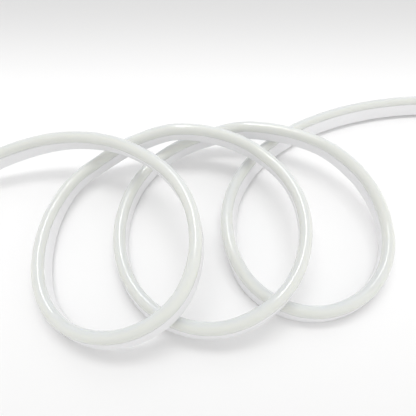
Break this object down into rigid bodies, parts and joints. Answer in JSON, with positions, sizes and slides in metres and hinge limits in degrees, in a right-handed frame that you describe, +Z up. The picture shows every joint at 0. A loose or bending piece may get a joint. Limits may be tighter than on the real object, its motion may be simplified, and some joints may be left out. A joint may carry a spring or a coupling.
{
  "type": "led strip light",
  "caption": "Side-bending LED strip light with a milky silicone dome over an opaque white silicone channel, laid down in overlapping loops, with plain cut ends.",
  "frame": {"origin": "on the floor, under the middle of the strip's bounding box", "axes": "+X along the longest extent, from the strip's left end to its right end; +Y to the back, where the loops rise over each other; +Z up, the shortest extent"},
  "size_m": [0.5032, 0.2598, 0.0579],
  "materials": {
    "opaque_silicone": "satin white, opaque",
    "milky_silicone": "smooth gloss, milky and translucent",
    "circuit_film": "matte white solder mask"
  },
  "bodies": {
    "root": {"base_channel": "opaque_silicone", "diffuser": "milky_silicone", "led_tape": "circuit_film"}
  },
  "joints": []
}
